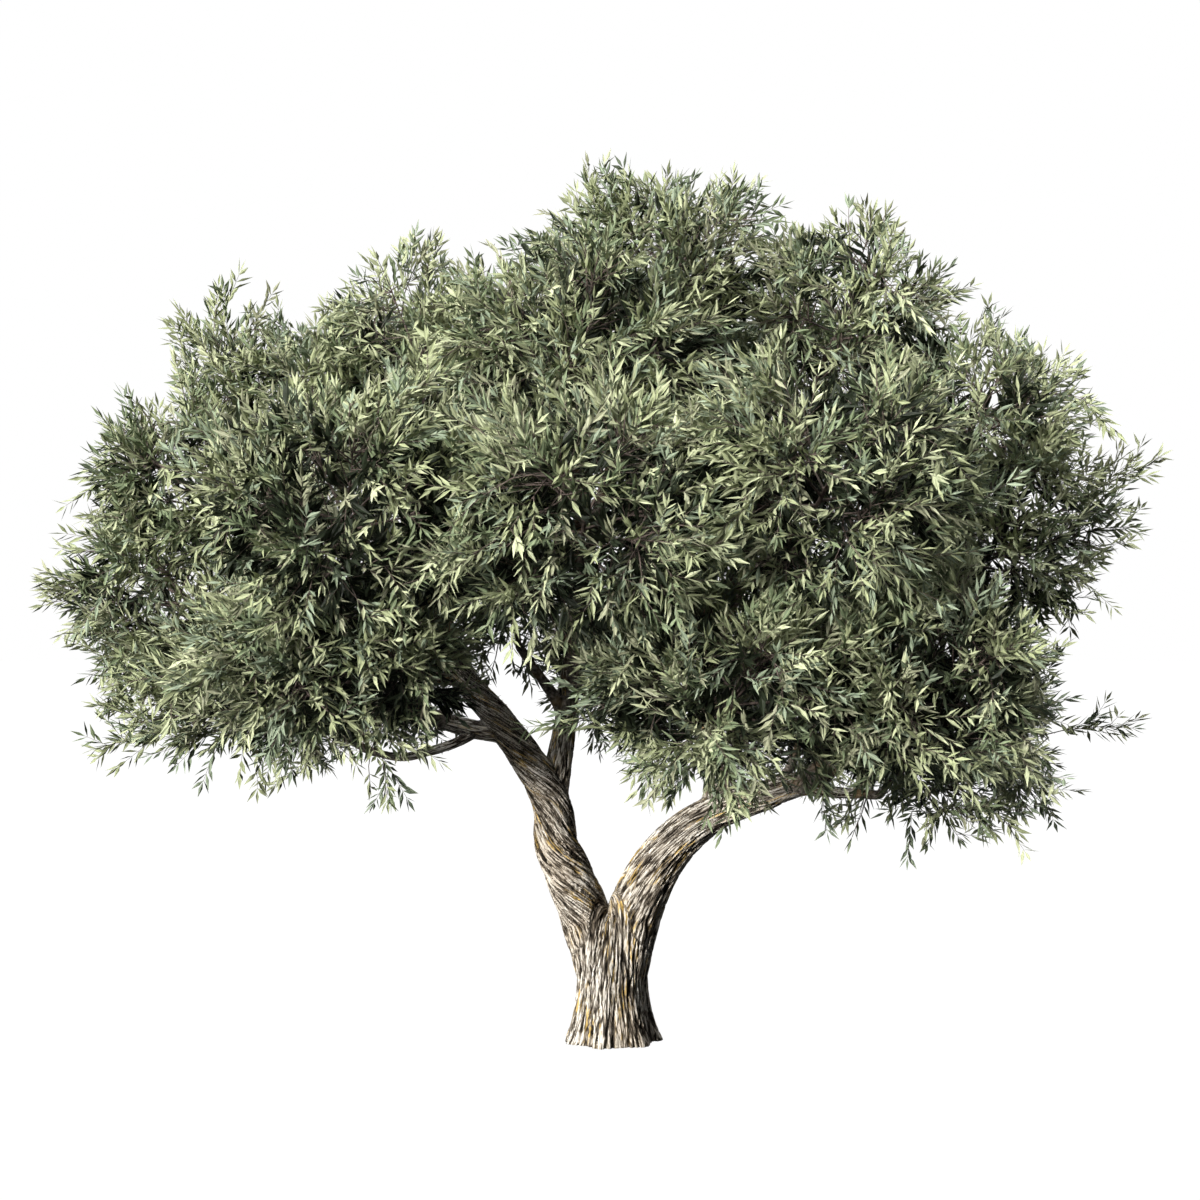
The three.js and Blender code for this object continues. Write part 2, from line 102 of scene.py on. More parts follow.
# Each bough: name, parent, place along it, root radius, points passed, middle and half size of its foliage.
BOUGHS = [
    ("left_bough", "trunk", 0, 0.118,
     [(-0.02, 0, 0.24), (-0.138, 0, 0.6), (-0.24, -0.01, 0.85), (-0.28, -0.02, 1.08),
      (-0.466, -0.03, 1.368), (-0.68, -0.04, 1.654), (-0.77, -0.06, 2.05)],
     (-0.84, -0.1, 3.01), (0.56, 0.56, 0.48)),
    ("right_bough", "trunk", 0, 0.13,
     [(0.01, 0, 0.24), (0.114, 0, 0.6), (0.246, -0.01, 0.83), (0.44, -0.02, 0.993),
      (0.72, -0.04, 1.095), (1, -0.06, 1.24)],
     (1.7, -0.15, 2.24), (0.53, 0.63, 0.49)),
    ("left_upright", "left_bough", 0.4, 0.066,
     [(-0.236, 0.02, 1.2), (-0.206, 0.04, 1.4), (-0.19, 0.05, 1.6), (-0.09, 0.04, 2.2)],
     (0.21, 0, 3.35), (0.61, 0.63, 0.52)),
    ("left_low_bough", "left_bough", 0.56, 0.046,
     [(-0.64, -0.02, 1.372), (-0.84, -0.02, 1.435), (-1.05, -0.03, 1.5), (-1.35, -0.04, 1.68)],
     (-1.94, -0.05, 1.98), (0.58, 0.61, 0.45)),
    ("left_drooping_bough", "left_low_bough", 0.14, 0.024,
     [(-0.69, -0.06, 1.305), (-0.8, -0.09, 1.272), (-0.92, -0.12, 1.25), (-1.06, -0.15, 1.285)],
     (-1.55, -0.26, 1.59), (0.62, 0.63, 0.4)),
    ("left_side_bough", "left_bough", 0.68, 0.028,
     [(-0.76, -0.06, 1.59), (-0.9, -0.09, 1.62), (-1.13, -0.12, 1.84)],
     (-1.79, -0.2, 2.42), (0.57, 0.63, 0.46)),
    ("left_high_bough", "left_bough", 0.76, 0.03, [], (-1.44, 0, 2.77), (0.54, 0.59, 0.43)),
    ("left_front_bough", "left_bough", 0.72, 0.03, [], (-1.06, -1.23, 2.31), (0.66, 0.6, 0.55)),
    ("left_front_low_bough", "left_low_bough", 0.3, 0.024, [],
     (-1.13, -0.92, 1.7), (0.61, 0.59, 0.42)),
    ("left_back_bough", "left_bough", 0.64, 0.032, [], (-1.23, 1.24, 2.3), (0.68, 0.63, 0.55)),
    ("left_back_low_bough", "left_low_bough", 0.42, 0.024, [],
     (-1.29, 0.82, 1.66), (0.64, 0.56, 0.41)),
    ("left_back_high_bough", "left_bough", 0.83, 0.026, [], (-0.79, 0.84, 2.96), (0.59, 0.54, 0.5)),
    ("left_inner_bough", "left_upright", 0.44, 0.024,
     [(-0.29, -0.02, 1.56), (-0.4, -0.06, 1.72)], (-0.53, 0.06, 2.17), (0.56, 0.54, 0.55)),
    ("centre_front_bough", "left_upright", 0.46, 0.028, [(-0.175, -0.06, 1.61)],
     (-0.11, -1.38, 2.26), (0.67, 0.56, 0.55)),
    ("centre_front_high_bough", "left_upright", 0.66, 0.026, [],
     (-0.15, -0.76, 2.96), (0.6, 0.55, 0.53)),
    ("centre_back_bough", "left_upright", 0.52, 0.028, [], (-0.02, 1.42, 2.3), (0.67, 0.59, 0.55)),
    ("centre_back_high_bough", "left_upright", 0.74, 0.024, [],
     (0.15, 0.86, 3), (0.61, 0.56, 0.52)),
    ("right_upright", "right_bough", 0.5, 0.058,
     [(0.465, 0.01, 1.16), (0.44, 0.02, 1.34), (0.42, 0.03, 1.56), (0.48, 0.02, 1.85),
      (0.62, 0, 2.25)],
     (1.03, -0.1, 3.22), (0.48, 0.56, 0.49)),
    ("right_low_bough", "right_bough", 0.66, 0.032,
     [(0.85, -0.06, 1.105), (1, -0.09, 1.092), (1.15, -0.11, 1.085)],
     (1.46, -0.16, 1.37), (0.52, 0.61, 0.46)),
    ("right_inner_bough", "right_upright", 0.52, 0.022, [], (0.4, 0.06, 2.43), (0.47, 0.54, 0.5)),
    ("right_front_bough", "right_upright", 0.5, 0.03, [], (0.83, -1.32, 2.42), (0.65, 0.56, 0.56)),
    ("right_front_low_bough", "right_upright", 0.3, 0.026, [],
     (0.47, -1.14, 1.58), (0.68, 0.54, 0.45)),
    ("right_back_high_bough", "right_upright", 0.7, 0.026, [],
     (1.02, 0.86, 2.86), (0.6, 0.56, 0.51)),
    ("right_high_bough", "right_bough", 0.86, 0.03, [], (1.58, -0.1, 2.72), (0.53, 0.6, 0.46)),
    ("right_low_front_bough", "right_bough", 0.72, 0.028, [],
     (1.25, -0.98, 1.6), (0.57, 0.54, 0.49)),
    ("right_back_bough", "right_bough", 0.78, 0.03, [], (1.29, 1.13, 2.17), (0.64, 0.59, 0.52)),
    ("right_back_low_bough", "right_bough", 0.58, 0.026, [],
     (1.07, 0.88, 1.43), (0.63, 0.54, 0.42)),
    ("centre_back_low_bough", "right_upright", 0.24, 0.026, [],
     (0.22, 1.23, 1.65), (0.62, 0.54, 0.43)),
]

# Tips of the long shoots that stand out of the crown, by the bough whose foliage they belong to.
SHOOTS = {
    "right_bough": [(2.42, -0.15, 2.56), (2.33, -0.22, 2.26)],
    "right_low_bough": [(2.325, -0.2, 1.39), (1.53, -0.26, 0.85)],
    "right_low_front_bough": [(0.93, -0.85, 0.9)],
    "right_front_low_bough": [(-0.005, -0.95, 1.24), (0.145, -0.95, 1.13)],
    "right_high_bough": [(2.1, -0.1, 2.96)],
    "left_low_bough": [(-2.52, -0.06, 1.93)],
    "left_drooping_bough": [(-2.29, -0.28, 1.28)],
    "left_front_low_bough": [(-0.9, -0.64, 1.04)],
    "left_inner_bough": [(-0.56, 0.06, 1.52), (-0.36, 0.13, 1.56)],
    "left_high_bough": [(-1.98, -0.04, 3.19), (-1.96, -0.05, 2.93)],
    "left_bough": [(-0.79, -0.1, 3.56)],
    "left_upright": [(0.25, 0, 3.88), (0.64, 0, 3.78), (-0.29, 0, 3.66)],
    "right_upright": [(1.16, -0.1, 3.69), (1.56, -0.1, 3.3)],
}

# How far along its axis the bark's skin covers a limb that shows. The rest of it is a plainer tube.
SKINNED = {
    "left_bough": 0.8,
    "right_bough": 0.84,
    "left_upright": 0.62,
    "right_upright": 0.5,
    "left_low_bough": 0.72,
    "left_drooping_bough": 0.75,
    "left_side_bough": 0.6,
    "right_low_bough": 0.6,
}
SKIN_STEP = 0.005  # between the points of the bark's skin

SKIN_TRIANGLES = 160000

TWIGS = 9  # of the frame's rule, in each mass
CORE_DRAWS = 42  # random numbers that the frame's rule spends on the core of a mass
REACH = (0.94, 1.08)
TWIG_FORK = 0.45  # a twig is bare up to here
SPRAY = 0.38  # the length of the frame's leaves, which stand for branchlets
SPRAY_SPLAY = 0.8
BRANCHLETS = 126  # finer ones that fill a mass between the frame's
BRANCHLET_REACH = (0.55, 1.04)
OUTER_SPRAYS = 14  # that stand out of a mass's leafy body
OUTER_REACH = (0.84, 0.95)
BODY = 0.81  # share of a mass's size that its leafy body fills; only sprays stand out of it
DIP = {"width": 0.16, "reach": 1.08, "from": 0.4}  # leaves fill the dips between masses, off the outline
CROWN_INSET = 0.03  # from the frame's own box
PAST_WALL = 0.08  # how far leaves may stand past the walls of a mass's own space
LIMB_GAP = 0.03  # between a leafy shoot's end and the nearest bark
HEART = (0, 0, 2.1)  # the middle of the crown
SHADE_DEPTH = 0.32  # leaves grow fewer where this much more foliage lies outside them
SHADED_SHARE = 0.36
# painted shade: from this depth in, most sprays get the near-black leaf finish, standing in for the crown's
# inner shadow
SHADE_PAINT_DEPTH = 0.15  # and most are darker from this depth
SHADE_PAINT_SHARE = 0.85
SPRAY_WIDTH = 0.14  # how far a spray stands out beside its twig
SHOOT = {"spacing": 0.058, "splay": (0.4, 0.9), "rise": 0.3, "length": (0.15, 0.27), "stretch": 0.17}
LEAF = {"length": 0.088, "width": 0.0185, "spacing": 0.0295, "splay": 0.64, "turn": 0.55}
MOST_PAIRS = 9  # of leaves on a shoot
BRANCHLET_FORK = (0.25, 0.6)  # along a twig
SPRAY_FORK = (0.35, 0.6)
FINE_RADII = {"twig": (0.0065, 0.0036), "branchlet": (0.0034, 0.0014), "shoot": (0.0015, 0.0008)}
STEM_END_RADIUS = 0.006

GOLDEN = math.pi * (3 - math.sqrt(5))

# ---- Small tools --------------------------------------------------------------------------------


def seeded(seed):
    """Random numbers in 0..1, the same as the frame's rule draws (mulberry32)."""
    state = seed & 0xFFFFFFFF
    while True:
        state = (state + 0x6D2B79F5) & 0xFFFFFFFF
        t = ((state ^ (state >> 15)) * (state | 1)) & 0xFFFFFFFF
        t ^= (t + (((t ^ (t >> 7)) * (t | 61)) & 0xFFFFFFFF)) & 0xFFFFFFFF
        yield ((t ^ (t >> 14)) & 0xFFFFFFFF) / 4294967296


def mix(a, b, t):
    return a + (b - a) * t


def smoothstep(x, low, high):
    t = np.clip((x - low) / (high - low), 0, 1)
    return t * t * (3 - 2 * t)


def unit(v):
    v = np.asarray(v, float)
    return v / np.maximum(np.linalg.norm(v, axis=-1, keepdims=True), 1e-12)


def through(points, t):
    """Places along the uniform Catmull-Rom curve through some points, for shares t of its stretches."""
    points = np.asarray(points, float)
    stretches = len(points) - 1
    ends = np.vstack([2 * points[0] - points[1], points, 2 * points[-1] - points[-2]])
    place = np.clip(np.atleast_1d(t) * stretches, 0, stretches - 1e-9)
    k = place.astype(int)
    w = (place - k)[:, None]
    p0, p1, p2, p3 = (ends[k + i] for i in range(4))
    leave, arrive = (p2 - p0) / 2, (p3 - p1) / 2
    cubic = 2 * p1 - 2 * p2 + leave + arrive
    return (cubic * w - 3 * p1 + 3 * p2 - 2 * leave - arrive) * w * w + leave * w + p1


def direction(i, count, turn):
    """Evenly spread directions, turned by the golden angle."""
    height = 1 - (2 * np.asarray(i) + 1) / count
    angle = np.asarray(i) * GOLDEN + turn
    flat = np.sqrt(1 - height * height)
    return np.stack([flat * np.cos(angle), flat * np.sin(angle), height], axis=-1)


def square_to(axis, hint):
    """Unit vectors square to some axes, as near as they can be to a hint."""
    off = hint - np.sum(hint * axis, axis=-1, keepdims=True) * axis
    return unit(off)


# ---- Limbs, by the frame's rule -----------------------------------------------------------------


def near_side(limb, share, start):
    """The point of a bough's foliage that faces a given point, at a share of the foliage's size."""
    ray = start - limb.middle
    return limb.middle + ray * share / np.linalg.norm(ray / limb.half)


def axis_points(limb, at, via):
    parent = limb.parent
    own = [np.array(p, float) for p in (via if parent else via[1:])]
    start = parent.place(at) if parent else np.array(via[0], float)
    points = [start, *own]
    tip = near_side(limb, ENTRY, points[-1])
    if not own:
        reach = tip - start
        leave = parent.heading(at) * np.linalg.norm(reach) * 0.16
        points += [start + reach * 0.3 + leave, start + reach * 0.68 + leave * 0.55]
    return np.array([*points, tip])


def make_limb(name, parent, at, root, via, middle, half):
    limb = SimpleNamespace(name=name, parent=parent, root=root)
    limb.middle, limb.half = np.array(middle, float), np.array(half, float)
    points = axis_points(limb, at, via)
    limb.place = lambda t: through(points, t)[0]
    limb.heading = lambda t: unit(through(points, t + 1e-4)[0] - through(points, t - 1e-4)[0])
    count = 40 * (len(points) - 1) + 1
    limb.t = np.linspace(0, 1, count)
    limb.path = through(points, limb.t)
    limb.radii = mix(root, TIP_RADIUS, limb.t**TAPER)
    tip_heading = unit(limb.path[-1] - limb.path[-2])
    bend = limb.path[-1] + tip_heading * np.linalg.norm(limb.middle - limb.path[-1]) * 0.45
    limb.stem = lambda t: quadratic(limb.path[-1], bend, limb.middle, np.asarray(t, float))
    return limb


def quadratic(a, b, c, t):
    t = np.asarray(t)[..., None]
    return a * (1 - t) ** 2 + b * 2 * t * (1 - t) + c * t * t


limbs = {}
for name, parent, *shape in BOUGHS:
    limbs[name] = make_limb(name, limbs.get(parent), *shape)


def frames_along(path):
    """Directions along, across and beside a path that doesn't twist."""
    along = unit(np.gradient(path, axis=0))
    across = np.zeros_like(path)
    across[0] = square_to(along[0], np.array([0.3, 1.0, 0.2]))
    for i in range(1, len(path)):
        across[i] = square_to(along[i], across[i - 1])
    return along, across, np.cross(along, across)


def circles(across, beside, sides):
    """Unit circles of points in some planes."""
    angle = (np.arange(sides) * 2 * math.pi / sides)[None, :, None]
    return across[:, None] * np.cos(angle) + beside[:, None] * np.sin(angle)


def tube_walls(rings, sides):
    """The triangles between the rings of a tube."""
    i, j = np.meshgrid(np.arange(rings - 1), np.arange(sides), indexing="ij")
    a, b = i * sides + j, i * sides + (j + 1) % sides
    return np.stack([a, b, b + sides, a, b + sides, a + sides], axis=-1).reshape(-1, 3)


def tube(path, radii, sides):
    """A closed tube of triangles round a path."""
    _, across, beside = frames_along(path)
    corners = path[:, None] + circles(across, beside, sides) * np.asarray(radii)[:, None, None]
    rings = len(path)
    points = np.vstack([corners.reshape(-1, 3), path[0], path[-1]])
    k = np.arange(sides)
    foot = np.stack([np.full(sides, rings * sides), (k + 1) % sides, k], axis=-1)
    last = (rings - 1) * sides
    end = np.stack([np.full(sides, rings * sides + 1), last + k, last + (k + 1) % sides], axis=-1)
    return points, np.vstack([tube_walls(rings, sides), foot, end])


def joined(shapes):
    """Several (points, faces) as one."""
    points, faces, base = [], [], 0
    for p, f in shapes:
        points.append(p)
        faces.append(f + base)
        base += len(p)
    return np.vstack(points), np.vstack(faces)


def mesh_of(name, points, faces, smooth=True):
    """A mesh from arrays, with one row of corners for each face."""
    mesh = bpy.data.meshes.new(name)
    faces = np.ascontiguousarray(faces, np.int32)
    mesh.vertices.add(len(points))
    mesh.vertices.foreach_set("co", np.ascontiguousarray(points, np.float32).ravel())
    mesh.loops.add(faces.size)
    mesh.loops.foreach_set("vertex_index", faces.ravel())
    mesh.polygons.add(len(faces))
    mesh.polygons.foreach_set("loop_start", np.arange(0, faces.size, faces.shape[1], dtype=np.int32))
    mesh.update(calc_edges=True)
    mesh.polygons.foreach_set("use_smooth", np.full(len(faces), smooth))
    return mesh


def add_object(name, data, material=None):
    obj = bpy.data.objects.new(name, data)
    bpy.context.scene.collection.objects.link(obj)
    if material:
        data.materials.append(material)
    return obj


def keep_numbers(mesh, name, values):
    """A number, or a vector, for each point of a mesh."""
    values = np.asarray(values, np.float32)
    kind, field = ("FLOAT", "value") if values.ndim == 1 else ("FLOAT_VECTOR", "vector")
    mesh.attributes.new(name, kind, "POINT").data.foreach_set(field, values.ravel())


# ---- Bark ---------------------------------------------------------------------------------------


def trunk_outline(height, angle):
    """The radius of the fluted column at a height and an angle."""
    flare = np.clip(1 - height / TRUNK["flare"], 0, None) ** TRUNK["flare_power"]
    closing = smoothstep(height, TRUNK["shoulder"], TRUNK["height"])
    radius = mix(TRUNK["waist"], TRUNK["top"], closing) + (TRUNK["foot"] - TRUNK["waist"]) * flare
    depth = mix(FLUTES["above"], FLUTES["foot"], flare)
    turn = FLUTES["twist"] * height / TRUNK["height"]
    return radius * (1 + depth * np.cos(FLUTES["count"] * (angle + turn)))


def trunk_column():
    """The trunk's column, carried a little below ground, where it is cut off later."""
    heights = np.linspace(-0.04, TRUNK["height"], 57)
    path = np.stack([0 * heights, 0 * heights, heights], axis=-1)
    points, faces = tube(path, np.ones(len(path)), 84)
    angle = np.arctan2(points[:, 1], points[:, 0])
    radius = np.hypot(points[:, 0], points[:, 1]) * trunk_outline(np.maximum(points[:, 2], 0), angle)
    points[:, 0], points[:, 1] = radius * np.cos(angle), radius * np.sin(angle)
    return points, faces


def grain_axis(name, path, radii, twist):
    """An axis that the bark's grain follows."""
    along, across, beside = frames_along(path)
    steps = np.linalg.norm(np.diff(path, axis=0), axis=1)
    length = np.concatenate([[0], np.cumsum(steps)])
    turn = twist * np.maximum(length - TWIST_START, 0)
    cos, sin = np.cos(turn)[:, None], np.sin(turn)[:, None]
    return SimpleNamespace(
        name=name, path=path, radii=radii, length=length, along=along,
        across=across * cos + beside * sin, beside=beside * cos - across * sin,
    )


# How the fibres turn round each limb, in radians a metre.
TWISTS = {"left_bough": -6.0, "right_bough": 0.9, "left_upright": -2.0, "right_upright": -0.8}
TWIST_START = 0.30  # along a limb, where its fibres begin to turn
GRAIN_FOOT = (0.06, 0.30)  # along the two lowest boughs, where their grain takes over from the trunk's
# How many strands a limb is made of, and how deep they part, in radii.
STRANDS = {
    "trunk": (11, 0.045),
    "left_bough": (5, 0.130),
    "right_bough": (7, 0.085),
    "left_upright": (4, 0.09),
}
OTHER_STRANDS = (3, 0.06)
OTHER_TWIST = 0.6
GRAIN_RADIUS = {"trunk": 0.16, "left_bough": 0.11, "right_bough": 0.115}
END_REACH = 0.02  # a limb's grain holds this far past its end before it counts as farther away
BLEND = 9  # how sharply one limb's grain takes over from another's
RIDGE = {"across": 0.024, "along": 0.30, "height": 0.015, "level": 0.75}
CRACK = {"across": 0.0125, "along": 0.085, "height": 0.0050, "level": 0.6}
LICHEN_PATCH = {"across": 0.05, "along": 0.25}
FIBRE_LENGTH = 0.115  # how much the fibres' coordinates are drawn out along a limb
FULL_RELIEF_RADIUS = 0.12  # a thinner limb's furrows are shallower


def grain_axes():
    heights = np.linspace(-0.05, 0.50, 45)
    column = np.stack([0 * heights, 0 * heights, heights], axis=-1)
    radii = np.maximum(trunk_outline(np.maximum(heights, 0), math.pi / 14), TRUNK["waist"])
    axes = [grain_axis("trunk", column, radii, 0.5)]
    for name, end in SKINNED.items():
        limb = limbs[name]
        kept = limb.t <= end + 0.02
        axes.append(grain_axis(name, limb.path[kept], limb.radii[kept], TWISTS.get(name, OTHER_TWIST)))
    return axes


def nearest_on(axis, points):
    """For points near an axis: how far from it in radii, and where in its own twisted frame."""
    tree = kdtree.KDTree(len(axis.path))
    for i, p in enumerate(axis.path):
        tree.insert(p, i)
    tree.balance()
    index = np.array([tree.find(p)[1] for p in points])
    off = points - axis.path[index]
    lift = np.sum(off * axis.along[index], axis=1)
    u = np.sum(off * axis.across[index], axis=1)
    v = np.sum(off * axis.beside[index], axis=1)
    radius = axis.radii[index]
    past = np.maximum(np.abs(lift) - END_REACH, 0)
    return np.hypot(np.hypot(u, v), past) / radius, u, v, axis.length[index] + lift, radius


def furrowed(coordinates, seed):
    """Bark seen by its height, 0..1: flat ridges that run along Z and part and join, with furrows between."""
    shift = Vector((seed * 7.3, seed * 3.1, seed * 5.7))
    out = np.empty(len(coordinates))
    for i, c in enumerate(coordinates):
        p = Vector(c)
        slow = p * 0.35 + shift
        wander = noise.noise_vector(slow) * 0.55
        out[i] = abs(noise.noise(p + wander + shift))
    return out


def bark_at(points, axes):
    """Bark's relief, lobes, lichen and the coordinates of its fibres at some points of the skin."""
    count = len(points)
    ratio = np.full((len(axes), count), 9.0)
    local = []
    for k, axis in enumerate(axes):
        low, high = axis.path.min(0) - 0.30, axis.path.max(0) + 0.30
        near = np.where(np.all((points > low) & (points < high), axis=1))[0]
        r, u, v, s, radius = nearest_on(axis, points[near])
        if axis.name in ("left_bough", "right_bough"):
            r = r + 0.5 * (1 - smoothstep(s, *GRAIN_FOOT))
        ratio[k, near] = r
        local.append((near, u, v, s, radius))
    weight = np.exp(-BLEND * (ratio - ratio.min(0)))
    weight[ratio > 3] = 0
    weight /= weight.sum(0)
    coarse, fine, lobes, painted_groove_shade, lichen, size = (np.zeros(count) for _ in range(6))
    fibres = np.zeros((count, 3))
    best = weight.argmax(0)
    for k, (axis, (near, u, v, s, radius)) in enumerate(zip(axes, local)):
        kept = weight[k, near] > 0.02
        near, u, v, s, radius = near[kept], u[kept], v[kept], s[kept], radius[kept]
        if not len(near):
            continue
        angle = np.arctan2(v, u)
        reference = GRAIN_RADIUS.get(axis.name, axis.radii[0])
        x, y = reference * np.cos(angle), reference * np.sin(angle)
        own = weight[k, near]
        wide, narrow, patch = (
            np.stack([x / grain["across"], y / grain["across"], s / grain["along"]], axis=-1)
            for grain in (RIDGE, CRACK, LICHEN_PATCH)
        )
        coarse[near] += own * smoothstep(furrowed(wide, k + 1), 0.0, 0.15)
        fine[near] += own * smoothstep(furrowed(narrow, k + 31), 0.0, 0.24)
        lichen[near] += own * np.array([noise.noise(Vector(p) + Vector((40, k, 3))) for p in patch])
        strands, depth = STRANDS.get(axis.name, OTHER_STRANDS)
        sway = 0.8 * np.array([noise.noise(Vector((0.3 * k, 0, 2.2 * far))) for far in s])
        round_backs = np.sqrt(np.abs(np.sin(strands / 2 * (angle + sway) + 0.9 * k)))
        lobes[near] += own * depth * (round_backs - 0.75)
        # painted shade: 0 in the grooves between strands and 1 on their backs; the bark's colour darkens the
        # grooves with it
        painted_groove_shade[near] += own * round_backs
        size[near] += own * radius
        mine = best[near] == k
        fibres[near[mine]] = np.stack([x, y, s * FIBRE_LENGTH], axis=-1)[mine] + [3.0 * k, 0, 0]
    return SimpleNamespace(
        coarse=coarse, fine=fine, lobes=lobes, painted_groove_shade=painted_groove_shade, lichen=lichen, size=size, fibres=fibres
    )


def relax(points, edges, passes, share=0.5):
    """Points drawn towards the middle of their neighbours."""
    count = np.bincount(edges.ravel(), minlength=len(points))[:, None]
    for _ in range(passes):
        total = np.zeros_like(points)
        for axis in range(3):
            total[:, axis] = np.bincount(edges[:, 0], points[edges[:, 1], axis], len(points))
            total[:, axis] += np.bincount(edges[:, 1], points[edges[:, 0], axis], len(points))
        points = mix(points, total / np.maximum(count, 1), share)
    return points


def modified(mesh, kind, **settings):
    """A mesh as one modifier leaves it."""
    rough = add_object("rough_skin", mesh)
    modifier = rough.modifiers.new("skin", kind)
    for key, value in settings.items():
        setattr(modifier, key, value)
    made = bpy.data.meshes.new_from_object(rough.evaluated_get(bpy.context.evaluated_depsgraph_get()))
    bpy.data.objects.remove(rough)
    return made


def read(items, field, width, kind=np.float32):
    """A field of a mesh's points, edges or normals, as an array."""
    values = np.empty(len(items) * width, kind)
    items.foreach_get(field, values)
    return values.reshape(-1, width)


def make_bark(material):
    """The trunk and every limb that shows, as one skin with its furrows in the mesh."""
    noise.seed_set(SEED)  # noise_vector depends on it, and would otherwise follow the clock
    shapes = [trunk_column()]
    for name, end in SKINNED.items():
        limb = limbs[name]
        kept = limb.t <= end
        shapes.append(tube(limb.path[kept][::2], limb.radii[kept][::2] * 0.97, 20))
    solid = mesh_of("rough_skin", *joined(shapes))
    skin = modified(solid, "REMESH", mode="VOXEL", voxel_size=SKIN_STEP)
    points = read(skin.vertices, "co", 3).astype(float)
    edges = read(skin.edges, "vertices", 2, np.int32)
    points = relax(points, edges, 10)
    skin.vertices.foreach_set("co", points.astype(np.float32).ravel())
    skin.update()
    normals = read(skin.vertex_normals, "vector", 3).astype(float)

    axes = grain_axes()
    bark = bark_at(points, axes)
    share = np.clip(bark.size / FULL_RELIEF_RADIUS, 0.16, 1.15)
    ridges = (bark.coarse - RIDGE["level"]) * RIDGE["height"] * share
    cracks = (bark.fine - CRACK["level"]) * CRACK["height"] * np.sqrt(share)
    push = bark.lobes * bark.size
    push += ridges + cracks
    points = points + normals * push[:, None]
    skin.vertices.foreach_set("co", points.astype(np.float32).ravel())
    numbers = {"furrow": bark.coarse, "crack": bark.fine, "groove_shade_paint": bark.painted_groove_shade}
    for name, values in {**numbers, "lichen": bark.lichen, "fibres": bark.fibres}.items():
        keep_numbers(skin, name, values)
    skin.polygons.foreach_set("use_smooth", np.ones(len(skin.polygons), bool))

    triangles = sum(len(p.vertices) - 2 for p in skin.polygons)
    shaped = bmesh.new()
    shaped.from_mesh(modified(skin, "DECIMATE", ratio=SKIN_TRIANGLES / triangles))
    every = shaped.verts[:] + shaped.edges[:] + shaped.faces[:]
    cut = bmesh.ops.bisect_plane(shaped, geom=every, plane_co=(0, 0, 0), plane_no=(0, 0, 1), clear_inner=True)
    rim = [e for e in cut["geom_cut"] if isinstance(e, bmesh.types.BMEdge)]
    bmesh.ops.holes_fill(shaped, edges=rim)
    bmesh.ops.triangulate(shaped, faces=[f for f in shaped.faces if len(f.verts) > 4])
    shaped.to_mesh(skin)
    shaped.free()
    skin.name = "bark"
    return add_object("bark", skin, material)


def bumpy_tube(path, radii, sides, seed):
    """A tube whose surface is a little uneven; the caller widens the radii into a collar where a limb leaves
    its parent.
    """
    points, faces = tube(path, radii, sides)
    middles = np.vstack([np.repeat(path, sides, axis=0), path[0], path[-1]])
    out = points - middles
    uneven = np.array([noise.noise(Vector(p) * 38 + Vector((seed, 0, 0))) for p in points])
    lumps = np.array([noise.noise(Vector(p) * 9 + Vector((0, seed, 0))) for p in points])
    return middles + out * (1 + 0.16 * uneven + 0.18 * lumps)[:, None], faces


def make_thin_boughs(material):
    """The boughs and parts of boughs that the foliage mostly hides."""
    shapes = []
    for index, limb in enumerate(limbs.values()):
        begin = SKINNED.get(limb.name, 0) - 0.03
        kept = limb.t >= begin
        path, radii = limb.path[kept], limb.radii[kept].copy()
        if limb.name not in SKINNED:
            away = np.linalg.norm(path - path[0], axis=1)
            radii *= 1 + 0.9 * np.exp(-np.maximum(away - limb.parent.radii[0] * 0.4, 0) / 0.05)
        step = 3
        sides = 12 if limb.root > 0.05 else 9
        shapes.append(bumpy_tube(path[::step], radii[::step], sides, index))
    points, faces = joined(shapes)
    return add_object("thin_boughs", mesh_of("thin_boughs", points, faces), material)


# ---- Foliage ------------------------------------------------------------------------------------


def mean_half(limb):
    """The radius of a ball as large as a mass."""
    return np.prod(limb.half) ** (1 / 3)


def walls_of(limb):
    """The flat walls of a mass's own space: directions out of it, and how far out each wall is."""
    others = [o for o in limbs.values() if o is not limb]
    apart = np.array([o.middle - limb.middle for o in others])
    distance = np.linalg.norm(apart, axis=1)
    grown = np.array([mean_half(limb) ** 2 - mean_half(o) ** 2 for o in others])
    return unit(apart), (distance + grown / distance) / 2


def share_of(limb, points):
    """How far out some points are, as a share of a mass's size."""
    return np.linalg.norm((points - limb.middle) / limb.half, axis=1)


def beyond_walls(limb, points):
    """How far some points stand out of a mass's own space, negative within it."""
    out, far = walls_of(limb)
    return ((points - limb.middle) @ out.T - far).max(axis=1)


def limb_room(points):
    """How far some points are from the bark of the nearest limb."""
    best = np.full(len(points), 9.0)
    for limb in limbs.values():
        path, radii = limb.path[::6], limb.radii[::6]
        away = np.linalg.norm(points[:, None] - path[None], axis=2) - radii[None]
        best = np.minimum(best, away.min(axis=1))
    return best


def frame_twigs(limb, index):
    """The ends of a mass's twigs by the frame's own rule, each with its turn and two sizes of side sprays."""
    random = seeded(SEED + index * 101)
    for _ in range(CORE_DRAWS):
        next(random)
    turn = next(random) * math.pi * 2
    targets = []
    for i in range(TWIGS):
        out = direction(i, TWIGS, turn)
        targets.append((out * mix(*REACH, next(random)) * limb.half + limb.middle, draws(random)))
    for tip in SHOOTS.get(limb.name, []):
        targets.append((np.array(tip, float), draws(random)))
    return targets


def draws(random):
    """A twig's turn and the sizes of its two side sprays."""
    return next(random) * math.pi * 2, 0.75 + 0.25 * next(random), 0.75 + 0.25 * next(random)


